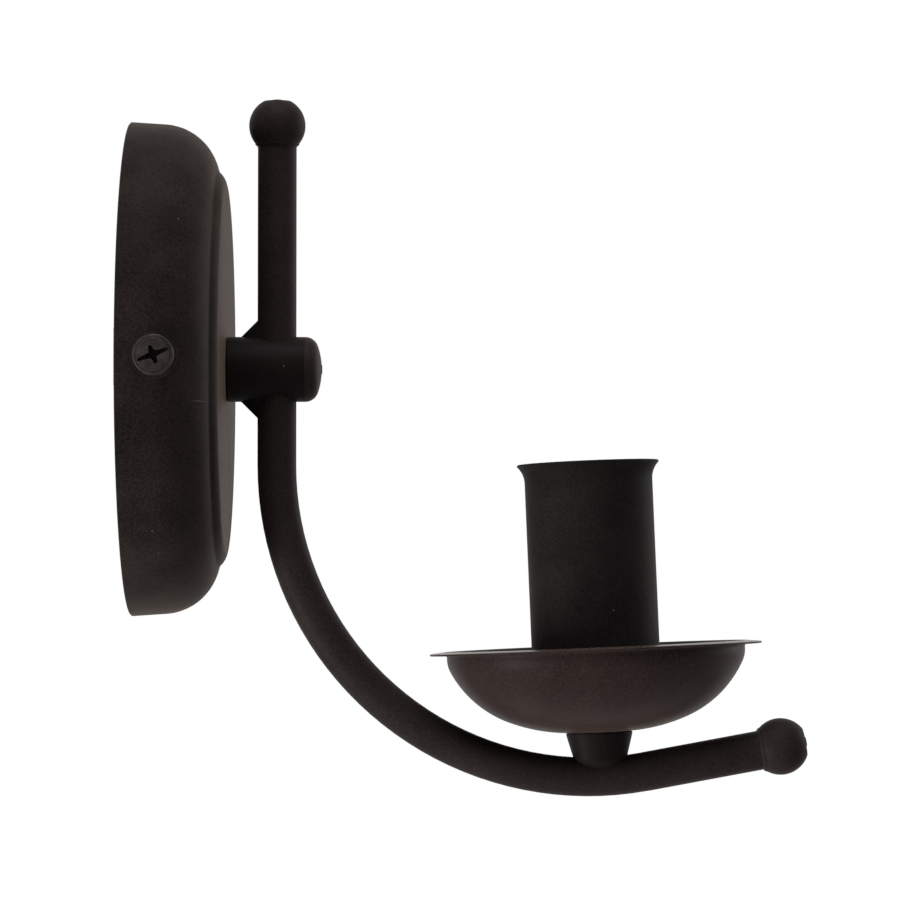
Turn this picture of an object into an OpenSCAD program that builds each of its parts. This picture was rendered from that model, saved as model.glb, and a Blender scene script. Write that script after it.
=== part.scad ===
// One-light torch sconce: round wall pan, side screws, barrel boss, bent arm with ball ends,
// and a cup of saddle, dish, flared sleeve and medium screw lampholder.
// Millimetres. The origin is on the wall, at the pan's axis: +X comes out of the wall, +Z is up.

/* [Back pan] */
// Diameter of the pan at its rim
pan_d = 127; // [115:1:150]
// Depth of the pan, from its rim to the raised face
pan_depth = 24.4; // [23.5:0.1:30]
// Thickness of the pan's sheet
pan_sheet = 0.9; // [0.6:0.1:1.4]
// Draft of the pan's side wall, in degrees
pan_draft = 3.6; // [1:0.1:6]
// Radius of the rounded shoulder
pan_shoulder_r = 14.5; // [12:0.5:16]
// Width of the ring between the rim and the raised disc
pan_ring_w = 14.55; // [13:0.05:18]
// Radius of the raised disc's edge
pan_disc_edge_r = 5; // [3:0.5:7]
// Radius of the hollow between the shoulder and the raised disc
pan_hollow_r = 2; // [1:0.5:3]
// Gap that the wall strap leaves between the rim and the wall
rim_gap = 0.6; // [0.2:0.1:1.2]

/* [Wall strap] */
// Width of the strap
strap_w = 14; // [12:0.5:20]
// Thickness of the strap
strap_t = 1.6; // [1.2:0.1:2]
// Inside radius of the strap's bends
strap_bend_r = 1.5; // [1:0.1:3]
// Length of the strap's ears, from the wall
strap_ear_h = 16; // [14.5:0.5:18]
// Spacing of the two wall box slots, centre to centre
box_slot_spacing = 79.4; // [70:0.1:90]
// Length of each wall box slot, end to end
box_slot_len = 14; // [9:0.5:16]
// Width of each wall box slot
box_slot_w = 4.6; // [4:0.1:5.5]
// Distance of the ground screw from the middle of the strap
ground_screw_y = 19; // [15:0.5:24]

/* [Side screws] */
// Distance of the side screws from the pan's rim
side_screw_x = 9.7; // [8:0.1:11.5]
// Outside diameter of the side screws' thread
side_screw_d = 4.1; // [3.5:0.1:5]
// Diameter of the side screws' heads
side_head_d = 10.1; // [8:0.1:12]
// Height of the side screws' heads
side_head_h = 2.4; // [2:0.1:3.2]
// Length of the side screws under the head
side_screw_len = 9; // [8:0.5:12]
// Length of the long slot in each head
side_slot_len = 8; // [5:0.5:9]
// Width of the long slot in each head
side_slot_w = 1.1; // [0.8:0.1:1.6]
// Diameter of the washers under the heads
side_washer_d = 11.6; // [10:0.1:14]
// Thickness of the washers under the heads
side_washer_t = 0.6; // [0.4:0.1:1.2]

/* [Boss] */
// Diameter of the barrel boss
boss_d = 16.75; // [15.5:0.05:20]
// Length of the barrel, from the pan's face to its cap
boss_len = 20.1; // [18.5:0.1:24]
// Depth of the cap's dome
cap_depth = 4.3; // [3.6:0.1:5]
// Radius of the cap's crown
cap_crown_r = 18.75; // [12:0.25:20]
// Reach of the two gussets from the arm towards the wall
gusset_run = 4.2; // [2:0.1:5]
// Height of the two gussets over the barrel
gusset_rise = 4.2; // [2:0.05:8]
// Thickness of the two gussets
gusset_t = 6; // [3:0.5:8]

/* [Threaded nipples] */
// Outside diameter of the nipples
nipple_d = 10; // [9.5:0.1:10.4]
// Bore of the nipples, for the wires
nipple_bore = 6.6; // [5.5:0.1:7]
// Length of the boss nipple
boss_nipple_len = 15; // [14:0.5:18]
// Depth of the boss nipple in the barrel
boss_nipple_in = 6; // [4:0.5:6.5]
// Width of the hexagon nuts across their flats
nut_af = 14.3; // [13.5:0.1:16]
// Thickness of the hexagon nuts
nut_t = 3.6; // [3:0.1:4.2]

/* [Arm] */
// Distance of the arm's upright from the pan's rim
arm_x = 37.3; // [36.5:0.1:38]
// Outside diameter of the arm tube
arm_d = 10; // [9:0.1:10.8]
// Wall thickness of the arm tube
arm_wall = 1; // [0.8:0.1:1.4]
// Height of the top ball's centre over the boss axis
post_h = 62.9; // [40:0.1:90]
// Drop from the boss axis to where the arm's bend begins
bend_drop = 24.7; // [16:0.1:60]
// Radius of the arm's bend, at the tube's axis
bend_r = 80; // [75:0.5:100]
// Upward slope of the arm's end, in degrees
end_slope = 10.5; // [8:0.5:16]
// Distance from the bend's end to the end ball's centre
end_len = 35.4; // [20:0.1:60]
// Diameter of the two balls
ball_d = 14.56; // [13.5:0.02:18]
// Height of the flat on each ball, over its centre
ball_flat_h = 6.35; // [5:0.05:6.7]

/* [Cup] */
// Place of the cup along the bend, past its lowest point, in degrees
cup_place = 2.4; // [0:0.1:5]
// Height of the dish's underside over the arm tube's axis
dish_seat = 11.45; // [11:0.05:14]
// Diameter of the saddle under the dish
saddle_d = 17; // [16:0.1:20]
// Height of the saddle's lower edge over the arm tube's axis
saddle_foot = 2.25; // [1.5:0.05:3]
// Outside diameter of the dish's bowl
bowl_d = 76.6; // [68:0.1:90]
// Reach of the dish's flange past its bowl
flange_w = 4.325; // [2.5:0.005:12]
// Height of the upright wall between the dish's bowl and its flange
dish_wall_h = 0.48; // [0.4:0.01:5]
// Thickness of the dish's sheet
dish_sheet = 0.9; // [0.6:0.1:1.2]
// Outside diameter of the sleeve
sleeve_d = 32.9; // [32.4:0.1:34]
// Wall thickness of the sleeve
sleeve_wall = 0.7; // [0.5:0.1:0.9]
// Height of the sleeve's lip over the top of the dish's flange
sleeve_over = 47.15; // [44:0.05:60]
// Radius of the sleeve's flare
flare_r = 6; // [4:0.5:10]
// Height of the sleeve's flare
flare_h = 4.7; // [3:0.1:5.5]

/* [Lampholder] */
// Outside diameter of the lampholder's body
holder_d = 30; // [29.6:0.1:30.4]
// Height of the lampholder's body
holder_h = 32.5; // [31:0.5:34]
// Depth of the body's top under the sleeve's lip
holder_below_lip = 4.1; // [2:0.1:8]
// Inside diameter of the screw shell
shell_bore = 26.6; // [26.4:0.1:26.9]
// Thickness of the screw shell
shell_t = 0.4; // [0.3:0.05:0.5]
// Length of the screw shell's threaded wall
shell_len = 19.5; // [18:0.5:21]
// Width of the holder leg's strip
leg_w = 9; // [7:0.5:12]
// Thickness of the holder leg's strip
leg_t = 1.2; // [0.8:0.1:1.5]
// Distance between the outsides of the holder leg's two uprights
leg_span = 27; // [26:0.5:28]
// Width of the brass contact tongue
tongue_w = 5; // [3:0.5:6]
// Length of the contact tongue from its root
tongue_len = 9.5; // [8:0.5:10]
// Upward slope of the contact tongue, in degrees
tongue_slope = 18; // [14:1:22]

/* [Hidden] */
$fn = 96;
arc_step = 3;          // turn between two points along the pan's and the dish's bends, in degrees
tiny = 0.01;           // overrun of a cut past the face it leaves
fit = 0.05;            // clearance all round parts that are screwed, pressed or brazed together
run = 0.06;            // running clearance of a screw in its thread
lap = 0.02;            // overlap of the bends that make up one sheet
skin = 0.03;           // how much the arm's rising end draws in where it runs into the bend
run_in = 0.6;          // length of the rising end inside the bend
slack = 0.25;          // clearance of a drilled hole round what passes through it
seat_gap = 0.05;       // gap under a flat piece that rests on a curved sheet
shoulder_in = 0.54;    // how far the pan's shoulder stands in from its rim
shoulder_h = 8.07;     // height of the shoulder's centre over the rim
ground_d = 4.8;        // ground screw's thread
ground_hub_d = 8;      // hub drawn up from the strap for the ground screw
ground_hub_h = 1.4;
ground_head_d = 9;
ground_head_h = 2.6;
tap_flange_d = 7.4;    // drawn flange of the tapped hole in each ear
tap_flange_h = 1.8;
cross_len = 4.4;       // cross recess in each side screw's head
cross_w = 1.4;
cross_depth = 1.9;
slot_depth = 0.9;
near_slot_tilt = 21;   // slant of each head's long slot
far_slot_tilt = -34;
head_bevel = 0.7;
cap_edge_r = 3.5;      // radius between the cap's crown and its side
cap_plug_d = 13;       // plug of the cap in the barrel's mouth
cap_plug_len = 1.5;
base_chamfer = 0.4;
lock_washer_d = 16.5;
lock_washer_t = 1;
lock_washer_slit = 1.4;
bushing_lip_t = 1.2;
bushing_len = 5;
bushing_bore = 4.4;
ball_neck_d = 11.4;    // neck of each ball, at the tube
ball_neck_h = 4.8;     // neck's lower edge under the ball's centre
ball_base_h = 5.4;     // seat of the tube under the ball's centre
ball_spigot_len = 7;
nub_d = 3.2;
nub_h = 0.4;
saddle_taper = 15;     // slope of the saddle's side
saddle_edge_r = 3.5;
saddle_rim_h = 0.6;
nipple_over_arm = 1.2; // height of the cup nipple's foot over the arm tube
wire_hole_d = 6.4;     // wire holes in the arm tube and the saddle
dish_flat_r = 6.25;       // flat at the middle of the dish
dish_r1 = 44.1;          // first and last bends of the bowl, and where the middle one starts and ends
dish_a1 = 22.6;
dish_a2 = 63.3;
dish_r3 = 7.5;
flange_bend_r = 0.6;
cup_washer_d = 19;
cup_washer_t = 1;
leg_bend_r = 1.2;
leg_tab = 4.2;         // inward reach of the leg's two tabs
leg_foot_d = 17;       // round foot of the leg, under the nut
m3_d = 3;
m3_head_d = 4.1;
m3_head_h = 1.6;
screw_bite = 4;        // depth of the leg's and the terminals' screws in the body
small_slot = 0.8;      // width and depth of the slots in small screw heads
holder_floor = 6;      // thickness of the body's floor
shell_step = 2.3;      // how far the shell's lower part draws in
shell_low_h = 5.9;     // height of the shell's lower part
shell_hole_r = 7.2;    // opening in the shell's floor
strip_t = 0.6;         // brass contact strips
rivet_d = 2.4;
rivet_head_d = 3.8;
rivet_top_d = 3.4;
shell_rivet_turn = 55; // the shell's rivet stands beside the neutral terminal
rivet_head_h = 0.6;
terminal_y = 9.2;
terminal_d = 3.4;
terminal_head_d = 6.6;
terminal_head_h = 1.7;

// places along X, from the wall
screw_at = rim_gap + side_screw_x;
face_at = rim_gap + pan_depth;
arm_at = rim_gap + arm_x;
cap_at = face_at + boss_len;

// the pan's section: the side's tangent point, the shoulder's centre and the disc's edge
shoulder_c = [pan_d / 2 - pan_shoulder_r - shoulder_in, shoulder_h];
shoulder_top = shoulder_c + pan_shoulder_r * [cos(pan_draft), sin(pan_draft)];
rim_r = shoulder_top.x + shoulder_top.y * tan(pan_draft);
disc_corner = pan_d / 2 - pan_ring_w;
disc_c = [disc_corner - pan_disc_edge_r * tan(22.5), pan_depth - pan_disc_edge_r];
riser = disc_corner + pan_depth;
hollow_n = (riser - shoulder_c.x - shoulder_c.y) / sqrt(2) + pan_hollow_r;
hollow_s = sqrt(pow(pan_shoulder_r + pan_hollow_r, 2) - pow(hollow_n, 2));
hollow_c = shoulder_c + hollow_n * [1, 1] / sqrt(2) + hollow_s * [-1, 1] / sqrt(2);
hollow_from = atan2(hollow_c.y - shoulder_c.y, hollow_c.x - shoulder_c.x);

// radius of the pan's outside at a distance x from its rim
function pan_r(x) = x < shoulder_top.y
    ? rim_r - x * tan(pan_draft)
    : shoulder_c.x + sqrt(pow(pan_shoulder_r, 2) - pow(x - shoulder_c.y, 2));

// the side screws' seats, out from the pan's axis
washer_seat = pan_r(side_screw_x - side_washer_d / 2) + seat_gap;
head_seat = washer_seat + side_washer_t + tiny;
ear_out = sqrt(pow(pan_r(strap_ear_h - rim_gap) - pan_sheet, 2) - pow(strap_w / 2, 2)) - slack;

// the arm's path
bend_c = [arm_at + bend_r, 0, -bend_drop];
cup_foot = bend_c + bend_r * [sin(cup_place), 0, -cos(cup_place)];
arm_bore = arm_d - 2 * arm_wall;

// the dish's section: the middle bend's radius, the centres of its three bends and its size
dish_r2 = (bowl_d / 2 - dish_flat_r - dish_r1 * sin(dish_a1) - dish_r3 * (1 - sin(dish_a2)))
    / (sin(dish_a2) - sin(dish_a1));
dish_c1 = [dish_flat_r, dish_r1];
dish_c2 = dish_c1 + (dish_r1 - dish_r2) * [sin(dish_a1), -cos(dish_a1)];
dish_c3 = dish_c2 + (dish_r2 - dish_r3) * [sin(dish_a2), -cos(dish_a2)];
dish_d = bowl_d + 2 * flange_w;
dish_h = dish_c3.y + dish_wall_h + flange_bend_r + dish_sheet;

// heights in the cup, from the arm tube's axis
nipple_foot = arm_d / 2 + nipple_over_arm;
flange_top = dish_seat + dish_h;
lip_top = flange_top + sleeve_over;
floor_top = dish_seat + dish_sheet;
washer_at = floor_top + bowl_rise(cup_washer_d / 2) + seat_gap;
leg_at = washer_at + cup_washer_t;
cup_nut_at = leg_at + leg_t;
cup_nipple_top = cup_nut_at + nut_t + 1;
sleeve_foot = floor_top + bowl_rise(sleeve_d / 2) + seat_gap;
holder_top = lip_top - holder_below_lip;
holder_at = holder_top - holder_h;
shell_at = holder_at + holder_floor;
thread_at = shell_at + shell_low_h;
shell_r = shell_bore / 2 + shell_t;
shell_low_r = shell_r - shell_step;
tongue_root = [-tongue_len / 2 + 0.2, 0, shell_at + shell_t + rivet_head_h + 0.5];

// rise of the bowl's inside over its flat, at a radius r within its first bend
function bowl_rise(r) = let (b = dish_r1 - dish_sheet)
    b - sqrt(pow(b, 2) - pow(max(r - dish_flat_r, 0), 2));

function polar(r, a) = r * [cos(a), sin(a)];

// Points along an arc of radius r about c, from angle a0 to a1
function arc(c, r, a0, a1) = let (steps = ceil(abs(a1 - a0) / arc_step))
    [for (i = [0:steps]) c + polar(r, a0 + (a1 - a0) * i / steps)];

bronze = "#352e2d";
zinc = "#c4c6c6";
steel = "#a9aaa8";
brass = "#b9974f";
phenolic = "#1d1b1a";

// ---------- shared shapes ----------

// A slice of a disc of radius r about c, from angle a0 to a1
module pie(c, r, a0, a1) {
    mid = (a0 + a1) / 2;
    reach = 1.5 * r / cos((a1 - a0) / 2);
    translate(c) intersection() {
        circle(r);
        polygon([[0, 0], polar(1.5 * r, a0), polar(reach, mid), polar(1.5 * r, a1)]);
    }
}

// The section of a sheet of thickness t bent about c, with outer radius r, lapping its neighbours
module bent_sheet(c, r, t, a0, a1) {
    more = lap / r * 180 / PI;
    difference() {
        pie(c, r, a0 - more, a1 + more);
        translate(c) circle(r - t);
    }
}

// Puts its children's Z axis on the pan's axis, pointing out of the wall
module out_of_wall(x = 0) {
    translate([x, 0, 0]) rotate([0, 90, 0]) children();
}

// Puts its children's Z axis on a side screw's axis, pointing out: side is -1 near and 1 far
module on_side(side) {
    translate([screw_at, 0, 0]) rotate([-90 * side, 0, 0]) children();
}

// Puts its children's Z axis on the cup's axis, from the arm tube's axis up
module on_cup(z = 0) {
    translate(cup_foot) rotate([0, -cup_place, 0]) translate([0, 0, z]) children();
}

// Puts its children's Z axis on the arm's rising end, z past the end of its bend
module on_end(z = 0) {
    translate(bend_c) rotate([0, -end_slope, 0]) translate([z, 0, -bend_r]) rotate([0, 90, 0]) children();
}

// A ring of outside diameter d and bore b
module ring(d, b, h) {
    difference() {
        cylinder(d = d, h = h);
        translate([0, 0, -tiny]) cylinder(d = b, h = h + 2 * tiny);
    }
}

// A hexagon nut with its corners turned off on top
module hex_nut() {
    difference() {
        intersection() {
            cylinder(d = nut_af / cos(30), h = nut_t, $fn = 6);
            union() {
                cylinder(d = nut_af / cos(30) + 1, h = nut_t - 0.8);
                translate([0, 0, nut_t - 0.8])
                    cylinder(d1 = nut_af / cos(30) + 0.6, d2 = nut_af - 0.6, h = 0.8, $fn = 96);
            }
        }
        translate([0, 0, -tiny]) cylinder(d = nipple_d + 2 * fit, h = nut_t + 2 * tiny);
    }
}

// A threaded nipple with its ends broken
module nipple(len) {
    edge = 0.5;
    difference() {
        union() {
            cylinder(d1 = nipple_d - 2 * edge, d2 = nipple_d, h = edge);
            translate([0, 0, edge]) cylinder(d = nipple_d, h = len - 2 * edge);
            translate([0, 0, len - edge]) cylinder(d1 = nipple_d, d2 = nipple_d - 2 * edge, h = edge);
        }
        translate([0, 0, -tiny]) cylinder(d = nipple_bore, h = len + 2 * tiny);
    }
}

// ---------- wall strap and pan ----------

// A stadium-shaped slot along Y through the strap
module box_slot(y) {
    half = (box_slot_len - box_slot_w) / 2;
    translate([-tiny, y, 0]) rotate([0, 90, 0]) linear_extrude(strap_t + 2 * tiny) {
        for (end = [-1, 1]) translate([0, end * half]) circle(d = box_slot_w);
        square([box_slot_w, 2 * half], center = true);
    }
}

// Half of the strap's section, seen along Z: the flat, the bend and the ear
module strap_section() {
    outer = strap_bend_r + strap_t;
    translate([0, -lap]) square([strap_t, ear_out - outer + lap]);
    bent_sheet([outer, ear_out - outer], outer, strap_t, 90, 180);
    translate([outer, ear_out - strap_t]) square([strap_ear_h - outer, strap_t]);
}

module wall_strap() {
    color(zinc) difference() {
        union() {
            translate([0, 0, -strap_w / 2]) linear_extrude(strap_w)
                for (side = [0, 1]) mirror([0, side, 0]) strap_section();
            for (side = [-1, 1])
                on_side(side) translate([0, 0, ear_out - strap_t - tap_flange_h])
                    cylinder(d = tap_flange_d, h = tap_flange_h + tiny);
            translate([0, ground_screw_y, 0]) out_of_wall(strap_t - tiny)
                cylinder(d = ground_hub_d, h = ground_hub_h + tiny);
        }
        for (side = [-1, 1]) {
            box_slot(side * box_slot_spacing / 2);
            on_side(side) translate([0, 0, ear_out - strap_t - tap_flange_h - tiny])
                cylinder(d = side_screw_d + 2 * run, h = strap_t + tap_flange_h + 2 * tiny);
        }
        out_of_wall(-tiny) cylinder(d = nipple_d, h = strap_t + 2 * tiny);
        translate([0, ground_screw_y, 0]) out_of_wall(-tiny)
            cylinder(d = ground_d + 2 * fit, h = strap_t + ground_hub_h + 2 * tiny);
    }
}

module ground_screw() {
    seat = strap_t + ground_hub_h + tiny;
    color("#3f7d4c") translate([0, ground_screw_y, 0]) out_of_wall() difference() {
        union() {
            translate([0, 0, 0.2]) cylinder(d = ground_d, h = seat - 0.2);
            translate([0, 0, seat]) cylinder(d = ground_head_d, h = 0.7);
            translate([0, 0, seat]) cylinder(d = ground_head_d - 1.2, h = ground_head_h, $fn = 6);
        }
        translate([-ground_head_d / 2, -0.5, seat + ground_head_h - 1])
            cube([ground_head_d, 1, 1 + tiny]);
    }
}

// The pan's section: radius across, distance from the rim upwards
module pan_section() {
    t = pan_sheet;
    polygon(concat(
        [[rim_r - 0.3, 0], [rim_r, 0.3]],
        arc(shoulder_c, pan_shoulder_r, pan_draft, hollow_from),
        arc(hollow_c, pan_hollow_r, hollow_from + 180, 225),
        arc(disc_c, pan_disc_edge_r, 45, 90),
        [[0, pan_depth], [0, pan_depth - t]],
        arc(disc_c, pan_disc_edge_r - t, 90, 45),
        arc(hollow_c, pan_hollow_r + t, 225, hollow_from + 180),
        arc(shoulder_c, pan_shoulder_r - t, hollow_from, pan_draft),
        [[rim_r - t / cos(pan_draft), 0]]
    ));
}

module back_pan() {
    color(bronze) difference() {
        out_of_wall(rim_gap) rotate_extrude() pan_section();
        out_of_wall(face_at - 2 * pan_sheet) cylinder(d = nipple_d + 2 * slack, h = 3 * pan_sheet);
        for (side = [-1, 1])
            on_side(side) translate([0, 0, pan_r(side_screw_x) - 3])
                cylinder(d = side_screw_d + 3 * slack, h = 6);
    }
}

// ---------- side screws ----------

module side_washer(side) {
    color(bronze) on_side(side) translate([0, 0, washer_seat])
        ring(side_washer_d, side_screw_d + 2 * slack, side_washer_t);
}

// Section of a side screw: shank, low head with a bevelled rim and a slight crown
module side_screw_section() {
    r = side_head_d / 2;
    crown_r = 30;
    square([side_screw_d / 2, side_screw_len - 0.6]);
    polygon([[0, -0.6], [side_screw_d / 2 - 0.6, -0.6], [side_screw_d / 2, 0], [0, 0]]);
    translate([0, side_screw_len - 0.6]) intersection() {
        polygon([
            [0, 0], [r - 0.3, 0], [r, 0.3], [r, side_head_h - head_bevel - 0.4],
            [r - head_bevel, side_head_h - 0.4], [r - head_bevel, side_head_h + 1], [0, side_head_h + 1]
        ]);
        translate([0, side_head_h - crown_r]) circle(crown_r, $fn = 240);
    }
}

// The head's recess: a long slot crossed by a tapered four-armed recess
module driver_recess() {
    translate([-side_slot_len / 2, -side_slot_w / 2, -slot_depth])
        cube([side_slot_len, side_slot_w, slot_depth + 1]);
    intersection() {
        translate([0, 0, -cross_depth]) cylinder(d1 = cross_w, d2 = cross_len + 1.2, h = cross_depth + 1);
        union() for (turn = [0, 90]) rotate(turn)
            translate([-cross_len / 2, -cross_w / 2, -cross_depth])
                cube([cross_len, cross_w, cross_depth + 1]);
    }
}

module side_screw(side, tilt) {
    top = head_seat + side_head_h;
    color(bronze) on_side(side) difference() {
        translate([0, 0, head_seat - side_screw_len + 0.6]) rotate_extrude() side_screw_section();
        translate([0, 0, top]) rotate(tilt) driver_recess();
    }
}

module near_screw_washer() side_washer(-1);
module far_screw_washer() side_washer(1);
module near_side_screw() side_screw(-1, near_slot_tilt);
module far_side_screw() side_screw(1, far_slot_tilt);

// ---------- boss ----------

// A gusset between the barrel and the arm, with a full round along its sloping edge
module gusset() {
    r = gusset_t / 2;
    foot = [arm_at - arm_d / 2 - gusset_run, boss_d / 2];
    tip = [arm_at - arm_d / 2, boss_d / 2 + gusset_rise];
    slope = atan2(tip.y - foot.y, tip.x - foot.x);
    inset = r * [sin(slope), -cos(slope)];
    axis_foot = foot + inset - polar(r, slope);
    length = norm(tip - foot) + 2.2 * r;
    rotate([90, 0, 0]) linear_extrude(gusset_t, center = true)
        polygon([axis_foot, axis_foot + polar(length, slope), [arm_at, 0], [foot.x, 0]]);
    translate([axis_foot.x, 0, axis_foot.y]) rotate([0, 90 - slope, 0]) cylinder(r = r, h = length);
}

module boss_barrel() {
    half = boss_d / 2 + gusset_rise;
    color(bronze) difference() {
        union() {
            out_of_wall(face_at)
                cylinder(d1 = boss_d - 2 * base_chamfer, d2 = boss_d, h = base_chamfer);
            out_of_wall(face_at + base_chamfer) cylinder(d = boss_d, h = boss_len - base_chamfer);
            for (side = [0, 1]) mirror([0, 0, side]) gusset();
        }
        out_of_wall(face_at - tiny) cylinder(d = nipple_d + 2 * fit, h = boss_len + 2 * tiny);
        out_of_wall(cap_at - cap_plug_len - slack)
            cylinder(d = cap_plug_d + 2 * fit, h = cap_plug_len + slack + tiny);
        translate([arm_at, 0, -half - 2 * gusset_t])
            cylinder(d = arm_d + 2 * fit, h = 2 * half + 4 * gusset_t);
    }
}

// Section of the cap: a crowned dome over a plug
module cap_section() {
    edge_c = [boss_d / 2 - cap_edge_r, 0];
    crown_c = [0, cap_depth - cap_crown_r];
    meet = atan2(edge_c.y - crown_c.y, edge_c.x - crown_c.x);
    intersection() {
        union() {
            pie(edge_c, cap_edge_r, 0, meet);
            pie(crown_c, norm(edge_c - crown_c) + cap_edge_r, meet, 90);
        }
        square([boss_d, cap_depth + 1]);
    }
    translate([0, -cap_plug_len]) square([cap_plug_d / 2, cap_plug_len + tiny]);
}

module boss_cap() {
    color(bronze) out_of_wall(cap_at + seat_gap) {
        rotate_extrude() cap_section();
        translate([0, 0, cap_depth - 0.3]) cylinder(d1 = nub_d, d2 = nub_d - 1, h = nub_h);
    }
}

module boss_nipple() {
    color(zinc) out_of_wall(face_at + boss_nipple_in - boss_nipple_len) nipple(boss_nipple_len);
}

module boss_lock_washer() {
    color(zinc) out_of_wall(face_at - pan_sheet - lock_washer_t - tiny) difference() {
        ring(lock_washer_d, nipple_d + 2 * fit, lock_washer_t);
        translate([0, -lock_washer_slit / 2, -tiny])
            cube([lock_washer_d, lock_washer_slit, lock_washer_t + 2 * tiny]);
    }
}

module boss_hex_nut() {
    color(zinc) out_of_wall(face_at - pan_sheet - lock_washer_t - 2 * tiny) mirror([0, 0, 1]) hex_nut();
}

module nipple_bushing() {
    end = face_at + boss_nipple_in - boss_nipple_len;
    color("#e8e6df") out_of_wall(end - tiny) difference() {
        union() {
            translate([0, 0, -bushing_lip_t]) cylinder(d = nipple_d - 0.6, h = bushing_lip_t);
            translate([0, 0, -tiny]) cylinder(d = nipple_bore - 2 * fit, h = bushing_len);
        }
        translate([0, 0, -bushing_lip_t - tiny])
            cylinder(d = bushing_bore, h = bushing_lip_t + bushing_len + 1);
    }
}

// ---------- arm ----------

// The arm's run as a rod of diameter d: upright, bend and rising end, each end over long.
// The rising end starts with a slight taper that comes out through the bend's wall.
module arm_run(d, over = 0) {
    top = post_h - ball_base_h;
    translate([arm_at, 0, -bend_drop]) cylinder(d = d, h = bend_drop + top + over);
    translate(bend_c) rotate([90, 0, 0]) rotate([0, 0, 180])
        rotate_extrude(angle = 90 + end_slope) translate([bend_r, 0]) circle(d = d);
    on_end(-run_in) cylinder(d1 = d - 2 * skin, d2 = d + 2 * skin, h = 1.5 * run_in);
    on_end(run_in / 2) cylinder(d = d + 2 * skin, h = end_len - ball_base_h - run_in / 2 + over);
}

module arm_tube() {
    color(bronze) difference() {
        arm_run(arm_d);
        arm_run(arm_bore, 1);
        out_of_wall(arm_at - arm_d) cylinder(d = wire_hole_d, h = arm_d);
        on_cup() cylinder(d = wire_hole_d, h = arm_d);
    }
}

// A ball with a flattened pole, a nub on it, a neck at the tube and a plug in the tube's bore
module ball() {
    plug_d = arm_bore - 2 * fit;
    rotate_extrude() {
        intersection() {
            circle(d = ball_d);
            translate([0, -ball_neck_h]) square([ball_d, ball_neck_h + ball_flat_h]);
        }
        translate([0, -ball_neck_h]) square([ball_neck_d / 2, 1]);
        polygon([
            [0, -ball_base_h], [arm_d / 2 + 0.1, -ball_base_h], [ball_neck_d / 2, -ball_neck_h],
            [0, -ball_neck_h]
        ]);
        translate([0, -ball_base_h - ball_spigot_len]) square([plug_d / 2, ball_spigot_len]);
        polygon([[0, ball_flat_h], [nub_d / 2, ball_flat_h], [nub_d / 2 - 0.5, ball_flat_h + nub_h],
            [0, ball_flat_h + nub_h]]);
    }
}

module top_ball() {
    color(bronze) translate([arm_at, 0, post_h + tiny]) ball();
}

module end_ball() {
    color(bronze) on_end(end_len + tiny) ball();
}

// ---------- cup ----------

// Section of the saddle: a tapered side between a short rim and a rounded foot
module saddle_section() {
    r = saddle_d / 2;
    top = dish_seat;
    side_top = top - saddle_rim_h;
    edge_y = saddle_foot + saddle_edge_r;
    edge_x = r - (side_top - edge_y) * tan(saddle_taper) - saddle_edge_r / cos(saddle_taper);
    edge_c = [edge_x, edge_y];
    polygon([
        [0, saddle_foot], [edge_x, saddle_foot], edge_c, edge_c + polar(saddle_edge_r, -saddle_taper),
        [r, side_top], [r, top - 0.2], [r - 0.2, top], [0, top]
    ]);
    pie(edge_c, saddle_edge_r, -90, -saddle_taper);
}

module cup_saddle() {
    color(bronze) difference() {
        on_cup() rotate_extrude() saddle_section();
        arm_run(arm_d + 2 * fit);
        on_cup(nipple_foot - slack) cylinder(d = nipple_d + 2 * fit, h = dish_seat);
        on_cup() cylinder(d = wire_hole_d, h = dish_seat);
    }
}

module cup_nipple() {
    color(zinc) on_cup(nipple_foot) nipple(cup_nipple_top - nipple_foot);
}

// Section of the dish: flat middle, two bends, a tighter bend to the wall, and the flange
module dish_section() {
    t = dish_sheet;
    rim_c = [bowl_d / 2 + flange_bend_r, dish_h - t - flange_bend_r];
    polygon(concat(
        [[0, 0]],
        arc(dish_c1, dish_r1, -90, dish_a1 - 90),
        arc(dish_c2, dish_r2, dish_a1 - 90, dish_a2 - 90),
        arc(dish_c3, dish_r3, dish_a2 - 90, 0),
        arc(rim_c, flange_bend_r, 180, 90),
        [[dish_d / 2, dish_h - t], [dish_d / 2, dish_h]],
        arc(rim_c, flange_bend_r + t, 90, 180),
        arc(dish_c3, dish_r3 - t, 0, dish_a2 - 90),
        arc(dish_c2, dish_r2 - t, dish_a2 - 90, dish_a1 - 90),
        arc(dish_c1, dish_r1 - t, dish_a1 - 90, -90),
        [[0, t]]
    ));
}

module dish() {
    color(bronze) on_cup(dish_seat + tiny) difference() {
        rotate_extrude() dish_section();
        translate([0, 0, -1]) cylinder(d = nipple_d + 2 * slack, h = 3);
    }
}

module cup_washer() {
    color(zinc) on_cup(washer_at) ring(cup_washer_d, nipple_d + slack, cup_washer_t);
}

module cup_nut() {
    color(zinc) on_cup(cup_nut_at + 3 * tiny) hex_nut();
}

// Section of the sleeve: a straight wall that flares out at the lip
module sleeve_section() {
    t = sleeve_wall;
    r = sleeve_d / 2;
    flare_at = lip_top - flare_h;
    flare_c = [r + flare_r, flare_at];
    sweep = asin(min(flare_h / (flare_r + t / 2), 0.95));
    translate([r - t, sleeve_foot]) square([t, flare_at - sleeve_foot]);
    bent_sheet(flare_c, flare_r + t, t, 180 - sweep, 180);
}

module flared_sleeve() {
    color(bronze) on_cup() rotate_extrude() sleeve_section();
}

// ---------- lampholder ----------

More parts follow.
